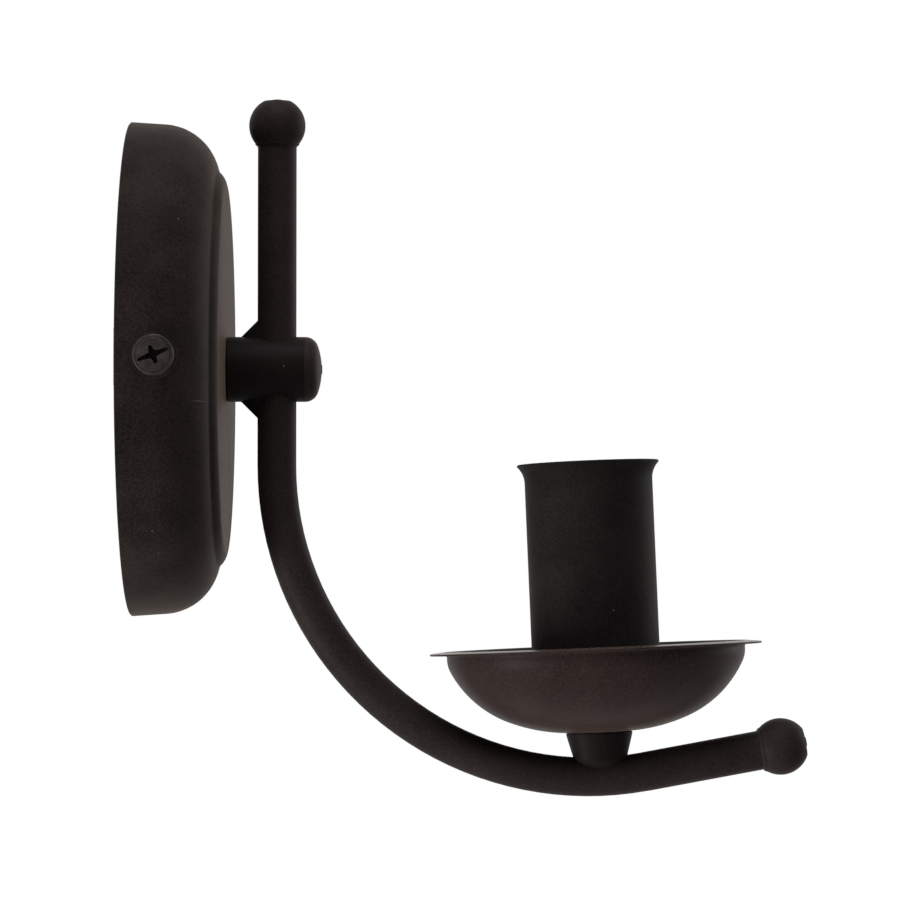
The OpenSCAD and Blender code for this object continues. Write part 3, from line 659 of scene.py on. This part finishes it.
@dataclass
class SideScrew:
    """A number 8 screw with a low crowned head, a turned rim and a slot crossed by a four-armed recess.

    The groove's corners are given by how far they stand inside the head's edge, and by their heights. The
    recess carries a near-black painted shade from a set depth under the crown down to its foot.
    """

    finishes: Finishes
    side: Side
    slant: float
    from_wall: float = 10.3
    from_axis: float = 63.911
    shank_d: float = 4.1
    length: float = 9.0
    pitch: float = INCH / 32
    thread_depth: float = 0.42
    point_bevel: float = 0.6
    plain_point: float = 0.15
    plain_neck: float = 0.3
    head_d: float = 10.1
    head_h: float = 2.4
    underside_r: float = 0.25
    rim_r: float = 0.55
    rim_h: float = 1.35
    groove: tuple[Point, ...] = ((0.62, 1.90), (0.80, 1.86), (0.92, 1.98))
    crown_r: float = 27.0
    crown_inset: float = 1.05
    crown_steps: int = 12
    recess: tuple[Gash, ...] = (Gash(8.6, 1.7, 0.7, 1.3, foot_share=0.8), Gash(5.0, 1.9, 0.8, 2.1),
                                Gash(5.0, 1.9, 0.8, 2.1, turn=90.0), Gash(2.6, 2.4, 1.2, 2.0, turn=45.0))
    shade_start_depth: float = 0.12
    recess_foot: float = 0.1

    def place(self, height: float = 0.0) -> Matrix:
        """Gives a frame on the screw's axis, with its Z axis out of the pan's side.

        Args:
            height: height over the head's seat.

        Returns:
            The frame, in millimetres.
        """
        turn = Matrix.Rotation(math.radians(self.side.value), 4, "X")
        out = Matrix.Translation((0.0, 0.0, self.from_axis + height))
        return Matrix.Translation((self.from_wall, 0.0, 0.0)) @ turn @ out

    def crown(self, radius: float) -> float:
        """Gives the crown's height over the head's seat at a radius."""
        return self.head_h - self.crown_r + math.sqrt(self.crown_r ** 2 - radius ** 2)

    def head_outline(self) -> list[Point]:
        """Gives the head's outline from its underside up over the rim to the middle of the crown.

        Returns:
            The outline's corners.
        """
        r = self.head_d / 2
        rim = [(r - self.underside_r, 0.0)]
        rim += arc((r - self.underside_r, self.underside_r), self.underside_r, -90, 0, 30)
        rim += arc((r - self.rim_r, self.rim_h), self.rim_r, 0, 62, 12)
        groove = [(r - inset, height) for inset, height in self.groove]
        reach = [(r - self.crown_inset) * (1 - i / self.crown_steps) for i in range(self.crown_steps)]
        return rim + groove + [(x, self.crown(x)) for x in reach] + [(0.0, self.head_h)]

    def outline(self, turn: float) -> list[Point]:
        """Gives the whole screw's outline at one turn, from the point of the shank to the crown.

        Args:
            turn: the turn about the screw's axis, in radians.

        Returns:
            The outline's corners.
        """
        foot, neck, crest = -self.length, -self.plain_neck, self.shank_d / 2
        thread = Thread(self.pitch, self.thread_depth, foot, neck, ThreadForm.CUT)
        shank = [(0.0, foot), (crest - self.point_bevel, foot)]
        for z in steps(foot + self.plain_point, neck, self.pitch):
            bevel = min(crest, crest - self.point_bevel + (z - foot))
            shank.append((min(bevel, crest - thread.drop(z, turn)), z))
        return shank + [(crest, 0.0)] + self.head_outline()

    def build(self) -> None:
        """Turns the screw, cuts its recess and puts it in the solid's stead."""
        name, crease = self.side.name.lower(), 30.0
        screw = surface_of_turn(f"{name}_threaded_screw", self.outline, self.place(), sides=96, crease=crease)
        top = self.place(self.head_h)
        gashes = [gash.cutter(f"{name}_gash_{i}", top, self.slant) for i, gash in enumerate(self.recess)]
        cut_away(screw, gashes, crease)
        seat(screw, f"{name}_screw", f"{name}_side_screw", self.finishes.screw_coat)
        self.paint_recess_shade(screw)
        dress([f"{name}_screw_washer"], self.finishes.coat)

    def paint_recess_shade(self, screw: bpy.types.Object) -> None:
        """Gives the faces deep in the recess a near-black painted shade, all but a thin edge under the crown.

        Args:
            screw: the screw, with its recess cut.
        """
        # the second slot holds the recess's painted shade
        screw.data.materials.append(self.finishes.recess_painted_shade)
        back = self.place().inverted()
        reach = self.recess[0].length / 2
        for face in screw.data.polygons:
            at = back @ (face.center / MM)
            radius = math.hypot(at.x, at.y)
            inside = self.recess_foot < at.z < self.crown(radius) - self.shade_start_depth
            # faces deep inside the recess take the painted shade
            face.material_index = int(radius < reach and inside)


@dataclass
class BackPlate:
    """The wall strap with its ground screw, the stepped pan and the two side screws."""

    finishes: Finishes
    near_slant: float = 21.0
    far_slant: float = -34.0

    def build(self) -> None:
        """Dresses the pan and the strap, and makes the side screws."""
        dress(["back_pan"], self.finishes.pan_coat)
        dress(["wall_strap"], self.finishes.zinc)
        dress(["ground_screw"], self.finishes.green)
        SideScrew(self.finishes, Side.NEAR, self.near_slant).build()
        SideScrew(self.finishes, Side.FAR, self.far_slant).build()


@dataclass
class Nipple:
    """A short threaded lamp pipe of the 1/8 in size, with its ends broken.

    The thread is taken to start and end beyond the pipe, so that it stands full up to both ends.
    """

    name: str
    node: str
    length: float
    place: Matrix
    finishes: Finishes
    outside: float = 10.0
    bore: float = 6.6
    pitch: float = INCH / 27
    thread_depth: float = 0.5
    bevel: float = 0.5
    beyond: float = 1.0

    def outline(self, turn: float) -> list[Point]:
        """Gives the pipe's outline at one turn: the threaded outside up, and the bore down.

        Args:
            turn: the turn about the pipe's axis, in radians.

        Returns:
            The outline's corners.
        """
        thread = Thread(self.pitch, self.thread_depth, -self.beyond, self.length + self.beyond,
                        ThreadForm.CUT)
        crest = self.outside / 2
        wall = []
        for z in steps(0.0, self.length, self.pitch):
            bevelled = crest - self.bevel + min(z, self.length - z)
            wall.append((min(bevelled, crest - thread.drop(z, turn)), z))
        return wall + [(self.bore / 2, self.length), (self.bore / 2, 0.0)]

    def build(self) -> None:
        """Turns the pipe and puts it in the solid's stead."""
        pipe = surface_of_turn(self.name, self.outline, self.place, sides=72, crease=30.0)
        seat(pipe, "fixture", self.node, self.finishes.zinc)


@dataclass
class Boss:
    """The barrel casting, its cap and the nipple, nut and washers that hold it to the pan."""

    finishes: Finishes
    nipple_foot: float = 16.0
    nipple_length: float = 15.0

    def build(self) -> None:
        """Dresses the casting and its hidden fixings, and makes their threaded nipple."""
        dress(["boss_barrel"], self.finishes.boss_coat)
        dress(["boss_cap"], self.finishes.coat)
        dress(["boss_hex_nut", "boss_lock_washer"], self.finishes.zinc)
        dress(["nipple_bushing"], self.finishes.nylon)
        Nipple("boss_threaded_nipple", "boss_nipple", self.nipple_length, out_of_wall(self.nipple_foot),
               self.finishes).build()


@dataclass
class Arm:
    """The bent tube and its two ball ends."""

    finishes: Finishes

    def build(self) -> None:
        """Dresses the tube and the balls."""
        dress(["arm_tube", "top_ball", "end_ball"], self.finishes.coat)


@dataclass
class SpunDish:
    """The dish, spun from one round of sheet, with its flange dressed a little down and its edge broken.

    Each bend of the bowl is a radius and the slope at which it ends, in degrees.
    """

    finishes: Finishes
    axis: CupAxis
    seat_height: float = 11.46
    sheet: float = 0.9
    hole_d: float = 10.5
    flat_r: float = 6.25
    bends: tuple[Point, ...] = ((44.1, 22.6), (28.095, 63.3), (7.5, 90.0))
    wall_h: float = 0.48
    bend_r: float = 0.6
    flange_w: float = 4.325
    droop: float = 0.36
    edge_r: float = 0.2

    def bowl(self, inset: float) -> list[Point]:
        """Gives the bowl's curve from its flat to its upright wall.

        Args:
            inset: how far the curve stands inside the outer one.

        Returns:
            The curve's points, upwards.
        """
        points = []
        centre, radius, turned_by = (self.flat_r, self.bends[0][0]), self.bends[0][0], 0.0
        for bend_r, end in self.bends:
            slope, shift = math.radians(turned_by), radius - bend_r
            centre = (centre[0] + shift * math.sin(slope), centre[1] - shift * math.cos(slope))
            points += arc(centre, bend_r - inset, turned_by - 90, end - 90, 2.0)
            radius, turned_by = bend_r, end
        return points

    def outline(self) -> list[Point]:
        """Gives the dish's closed outline: the underside out to the edge, and the inside back.

        Returns:
            The outline's corners.
        """
        under, inside = self.bowl(0.0), self.bowl(self.sheet)
        wall_x, wall_y = under[-1]
        flange_y = wall_y + self.wall_h + self.bend_r
        rim = (wall_x + self.bend_r, wall_y + self.wall_h)
        edge = wall_x + self.flange_w
        low = flange_y + self.edge_r
        high = flange_y + self.sheet - self.droop - self.edge_r
        return ([(self.hole_d / 2, 0.0)] + under + arc(rim, self.bend_r, 180, 90, 15)
                + arc((edge - self.edge_r, low), self.edge_r, -90, 0, 30)
                + arc((edge - self.edge_r, high), self.edge_r, 0, 85, 30)
                + arc(rim, self.bend_r + self.sheet, 86, 180, 10)
                + inside[::-1] + [(self.hole_d / 2, self.sheet)])

    def build(self) -> None:
        """Spins the dish and puts it in the solid's stead."""
        dish = turned("spun_dish", self.outline(), self.axis.at(self.seat_height), sides=288)
        seat(dish, "fixture", "dish", self.finishes.dish_coat)
        self.paint_flange_highlight(dish)

    def paint_flange_highlight(self, dish: bpy.types.Object) -> None:
        """Gives the flange's upward faces their smoother finish, with a lighter colour that is a painted
        highlight.

        Args:
            dish: the spun dish, in place.
        """
        # the second slot holds the flange's smooth coat and painted highlight
        dish.data.materials.append(self.finishes.flange_smooth_highlight_coat)
        back = self.axis.at(self.seat_height).inverted()
        bend_end = self.bowl(0.0)[-1][0] + self.bend_r
        for face in dish.data.polygons:
            at = back @ (face.center / MM)
            up = back.to_3x3() @ face.normal
            # faces that face up out on the flange take the smooth coat and its painted highlight
            face.material_index = int(math.hypot(at.x, at.y) > bend_end and up.z > 0.5)


@dataclass
class FlaredSleeve:
    """The tall sleeve round the lampholder, flared at its lip, whose edge is rounded."""

    finishes: Finishes
    axis: CupAxis
    foot: float = 13.622
    outside_r: float = 16.45
    wall: float = 0.7
    flare_at: float = 75.95
    flare_r: float = 6.0
    flare_sweep: float = 44.5
    foot_break: float = 0.1

    def outline(self) -> list[Point]:
        """Gives the sleeve's closed outline: the outside up, round the lip, and the inside down.

        Returns:
            The outline's corners.
        """
        centre = (self.outside_r + self.flare_r, self.flare_at)
        end = 180 - self.flare_sweep
        angle = math.radians(end)
        middle = self.flare_r + self.wall / 2
        lip = (centre[0] + middle * math.cos(angle), centre[1] + middle * math.sin(angle))
        outer_r, inner_r, off = self.outside_r, self.outside_r - self.wall, self.foot_break
        return ([(outer_r - off, self.foot), (outer_r, self.foot + off)]
                + arc(centre, self.flare_r, 180, end, 3)
                + arc(lip, self.wall / 2, end - 180, end, 20)[1:-1]
                + arc(centre, self.flare_r + self.wall, end, 180, 3)
                + [(inner_r, self.foot + off), (inner_r + off, self.foot)])

    def build(self) -> None:
        """Spins the sleeve and puts it in the solid's stead."""
        sleeve = turned("spun_flared_sleeve", self.outline(), self.axis.at(), sides=192)
        seat(sleeve, "sleeve", "flared_sleeve", self.finishes.sleeve_coat)


@dataclass
class Cup:
    """The saddle, dish and sleeve on the arm, and the nipple and nut that clamp them."""

    finishes: Finishes
    axis: CupAxis
    nipple_foot: float = 6.2
    nipple_top: float = 19.32

    def build(self) -> None:
        """Dresses the saddle and the fixings, and makes the dish, the sleeve and their threaded nipple."""
        dress(["cup_saddle"], self.finishes.boss_coat)
        dress(["cup_washer", "cup_nut"], self.finishes.zinc)
        SpunDish(self.finishes, self.axis).build()
        FlaredSleeve(self.finishes, self.axis).build()
        Nipple("cup_threaded_nipple", "cup_nipple", self.nipple_top - self.nipple_foot,
               self.axis.at(self.nipple_foot), self.finishes).build()


@dataclass
class RolledShell:
    """The drawn brass-plated shell that takes a medium screw lamp, with its thread rolled into the wall.

    It steps from a low cup of radius low_r out to its full width. The radii of its outward corners and of the
    step's inner one are those of its outside.
    """

    finishes: Finishes
    axis: CupAxis
    foot: float = 50.05
    outside: float = 27.4
    sheet: float = 0.4
    hole_r: float = 7.2
    low_r: float = 11.4
    low_h: float = 5.9
    wall_h: float = 19.5
    pitch: float = INCH / 7
    thread_depth: float = 0.8
    plain_lip: float = 1.6
    plain_foot: float = 1.2
    corner_r: float = 0.6
    step_r: float = 0.4

    def outline(self, turn: float) -> list[Point]:
        """Gives the shell's closed outline at one turn: the outside up, and the inside down.

        Args:
            turn: the turn about the shell's axis, in radians.

        Returns:
            The outline's corners.
        """
        top, low = self.low_h + self.wall_h, self.low_h
        r, t = self.outside / 2, self.sheet
        corner, step = self.corner_r, self.step_r
        start, end = low + self.plain_foot, top - self.plain_lip
        thread = Thread(self.pitch, self.thread_depth, start, end, ThreadForm.ROLLED, run_out=0.4)
        heights = steps(start, end, self.pitch, per_pitch=14)
        foot_corner = (self.low_r - corner, corner)
        step_corner = (self.low_r + step, low - step)
        outer = [(self.hole_r, 0.0)] + arc(foot_corner, corner, -90, 0, 18)
        outer += arc(step_corner, step, 180, 90, 30)
        outer += arc((r - corner, low + corner), corner, -90, 0, 18)
        outer += [(r - thread.drop(z, turn), z) for z in heights] + [(r, top)]
        inner = [(r - t, top)] + [(r - t - thread.drop(z, turn), z) for z in reversed(heights)]
        # the sheet is left 0.2 mm thicker inside the wide corner
        inner += arc((r - corner, low + t + step), corner - t, 0, -90, 30)
        inner += arc(step_corner, step + t, 90, 180, 18)
        inner += arc(foot_corner, corner - t, 0, -90, 30) + [(self.hole_r, t)]
        return outer + inner

    def build(self) -> None:
        """Sweeps the shell and puts it in the solid's stead."""
        shell = surface_of_turn("rolled_screw_shell", self.outline, self.axis.at(self.foot), sides=128,
                                crease=40.0)
        seat(shell, "fixture", "screw_shell", self.finishes.shell)


@dataclass
class Lampholder:
    """The medium screw lampholder in the sleeve."""

    finishes: Finishes
    axis: CupAxis

    def build(self) -> None:
        """Dresses the leg, body and contacts, and makes the rolled shell."""
        dress(["holder_leg", "leg_screws", "neutral_screw"], self.finishes.zinc)
        dress(["socket_body"], self.finishes.phenolic)
        dress(["contact_rivets", "contact_tongue", "hot_strip", "neutral_strip", "hot_screw"],
              self.finishes.brass)
        RolledShell(self.finishes, self.axis).build()


# ---------- studio ----------


@dataclass(frozen=True)
class Softbox:
    """A square lamp that faces the object and isn't seen itself; its power is in watts."""

    name: str
    place: Spot
    side: float
    power: float

    def hang(self, aim: Spot) -> None:
        """Makes the lamp.

        Args:
            aim: the point that it faces.
        """
        data = bpy.data.lights.new(self.name, "AREA")
        data.size = self.side * MM
        data.energy = self.power
        lamp = bpy.data.objects.new(self.name, data)
        bpy.context.scene.collection.objects.link(lamp)
        lamp.location = Vector(self.place) * MM
        lamp.rotation_euler = (Vector(aim) - Vector(self.place)).to_track_quat("-Z", "Y").to_euler()
        lamp.visible_camera = False


@dataclass
class Studio:
    """The white surround, its lamps, and the camera.

    The camera stands level with the arm's lower half and looks a little up. The floor is white painted board:
    matt and hardly glossy, and directly seen it shines by itself, so that it doesn't end in grey.
    """

    lens: float = 171.7
    sensor: float = 36.0
    nearest: float = 50.0
    farthest: float = 50000.0
    camera_at: Spot = (80.0, -1104.0, -61.5)
    camera_aim: Spot = (82.45, 0.0, -20.76)
    white: str = "#ffffff"
    world_light: float = 0.24
    floor_height: float = -1200.0
    floor_radius: float = 5000.0
    floor_sides: int = 96
    floor_colour: str = "#f4f4f3"
    floor_roughness: float = 0.9
    floor_gloss: float = 0.1
    floor_paleness: float = 0.8
    lamp_aim: Spot = (82.0, 0.0, -25.0)
    lamps: tuple[Softbox, ...] = (
        Softbox("top_softbox", (60.0, -450.0, 1150.0), 900.0, 13.5),
        Softbox("right_softbox", (1100.0, 600.0, 200.0), 700.0, 4.0),
        Softbox("left_low_softbox", (-880.0, -430.0, -470.0), 520.0, 12.0),
        Softbox("low_softbox", (-100.0, -200.0, -580.0), 800.0, 1.0),
    )

    def build(self) -> None:
        """Makes the camera, the world, the lamps and the floor."""
        bpy.context.scene.view_settings.view_transform = "Standard"
        self.build_camera()
        self.build_world()
        for lamp in self.lamps:
            lamp.hang(self.lamp_aim)
        self.build_floor()

    def build_camera(self) -> None:
        """Sets the camera at the photograph's place."""
        data = bpy.data.cameras.new("camera")
        data.lens = self.lens
        data.sensor_width = self.sensor
        data.clip_start = self.nearest * MM
        data.clip_end = self.farthest * MM
        camera = bpy.data.objects.new("camera", data)
        bpy.context.scene.collection.objects.link(camera)
        place = Vector(self.camera_at)
        camera.location = place * MM
        camera.rotation_euler = (Vector(self.camera_aim) - place).to_track_quat("-Z", "Y").to_euler()
        bpy.context.scene.camera = camera

    def build_world(self) -> None:
        """Makes a world that is white to the eye and in reflections, and lights at a plain level."""
        world = bpy.data.worlds.new("white_surround")
        bpy.context.scene.world = world
        world.use_nodes = True
        tree = world.node_tree
        tree.nodes.clear()
        white = linear(self.white)
        lighting = add(tree, "ShaderNodeBackground", inputs={"Color": white, "Strength": self.world_light})
        seen = add(tree, "ShaderNodeBackground", inputs={"Color": white, "Strength": 1.0})
        mix = add(tree, "ShaderNodeMixShader",
                  {0: self.seen_directly(tree), 1: lighting.outputs[0], 2: seen.outputs[0]})
        add(tree, "ShaderNodeOutputWorld", {"Surface": mix.outputs[0]})

    def seen_directly(self, tree: bpy.types.NodeTree) -> bpy.types.NodeSocket:
        """Tells rays that end in the eye or in a reflection from those that only carry light.

        Args:
            tree: the world's or the floor's node tree.

        Returns:
            A socket that is 1 for the camera's, glossy and transmitted rays, and otherwise 0.
        """
        path = add(tree, "ShaderNodeLightPath")
        kinds = ("Is Camera Ray", "Is Glossy Ray", "Is Transmission Ray")
        camera, glossy, through = (path.outputs[kind] for kind in kinds)
        seen = add(tree, "ShaderNodeMath", {0: camera, 1: glossy}, operation="MAXIMUM")
        either = add(tree, "ShaderNodeMath", {0: seen.outputs[0], 1: through}, operation="MAXIMUM")
        return either.outputs[0]

    def build_floor(self) -> None:
        """Lays a pale floor, well below the object, that fades into the white surround."""
        turns = [math.tau * i / self.floor_sides for i in range(self.floor_sides)]
        ring = [(self.floor_radius * math.cos(turn), self.floor_radius * math.sin(turn), self.floor_height)
                for turn in turns]
        floor = mesh_object("floor", ring, [tuple(range(self.floor_sides))], Matrix.Identity(4))
        material = bpy.data.materials.new("pale_matt_floor")
        material.use_nodes = True
        tree = material.node_tree
        shader = tree.nodes["Principled BSDF"]
        shader.inputs["Base Color"].default_value = linear(self.floor_colour)
        shader.inputs["Roughness"].default_value = self.floor_roughness
        shader.inputs["Specular IOR Level"].default_value = self.floor_gloss
        paper = add(tree, "ShaderNodeEmission", inputs={"Color": linear(self.white), "Strength": 1.0})
        shown = add(tree, "ShaderNodeMath", {0: self.seen_directly(tree)}, {1: self.floor_paleness},
                    operation="MULTIPLY")
        mix = add(tree, "ShaderNodeMixShader",
                  {0: shown.outputs[0], 1: shader.outputs[0], 2: paper.outputs[0]})
        tree.links.new(mix.outputs[0], tree.nodes["Material Output"].inputs["Surface"])
        floor.data.materials.append(material)


def main() -> None:
    """Builds the studio and the sconce."""
    logging.basicConfig(level=logging.INFO, format="%(name)s: %(message)s")
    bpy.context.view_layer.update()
    Studio().build()
    finishes = Finishes()
    axis = CupAxis()
    for part in (BackPlate(finishes), Boss(finishes), Arm(finishes), Cup(finishes, axis),
                 Lampholder(finishes, axis)):
        part.build()
        LOG.info("%s done", type(part).__name__)


if __name__ == "__main__":
    main()
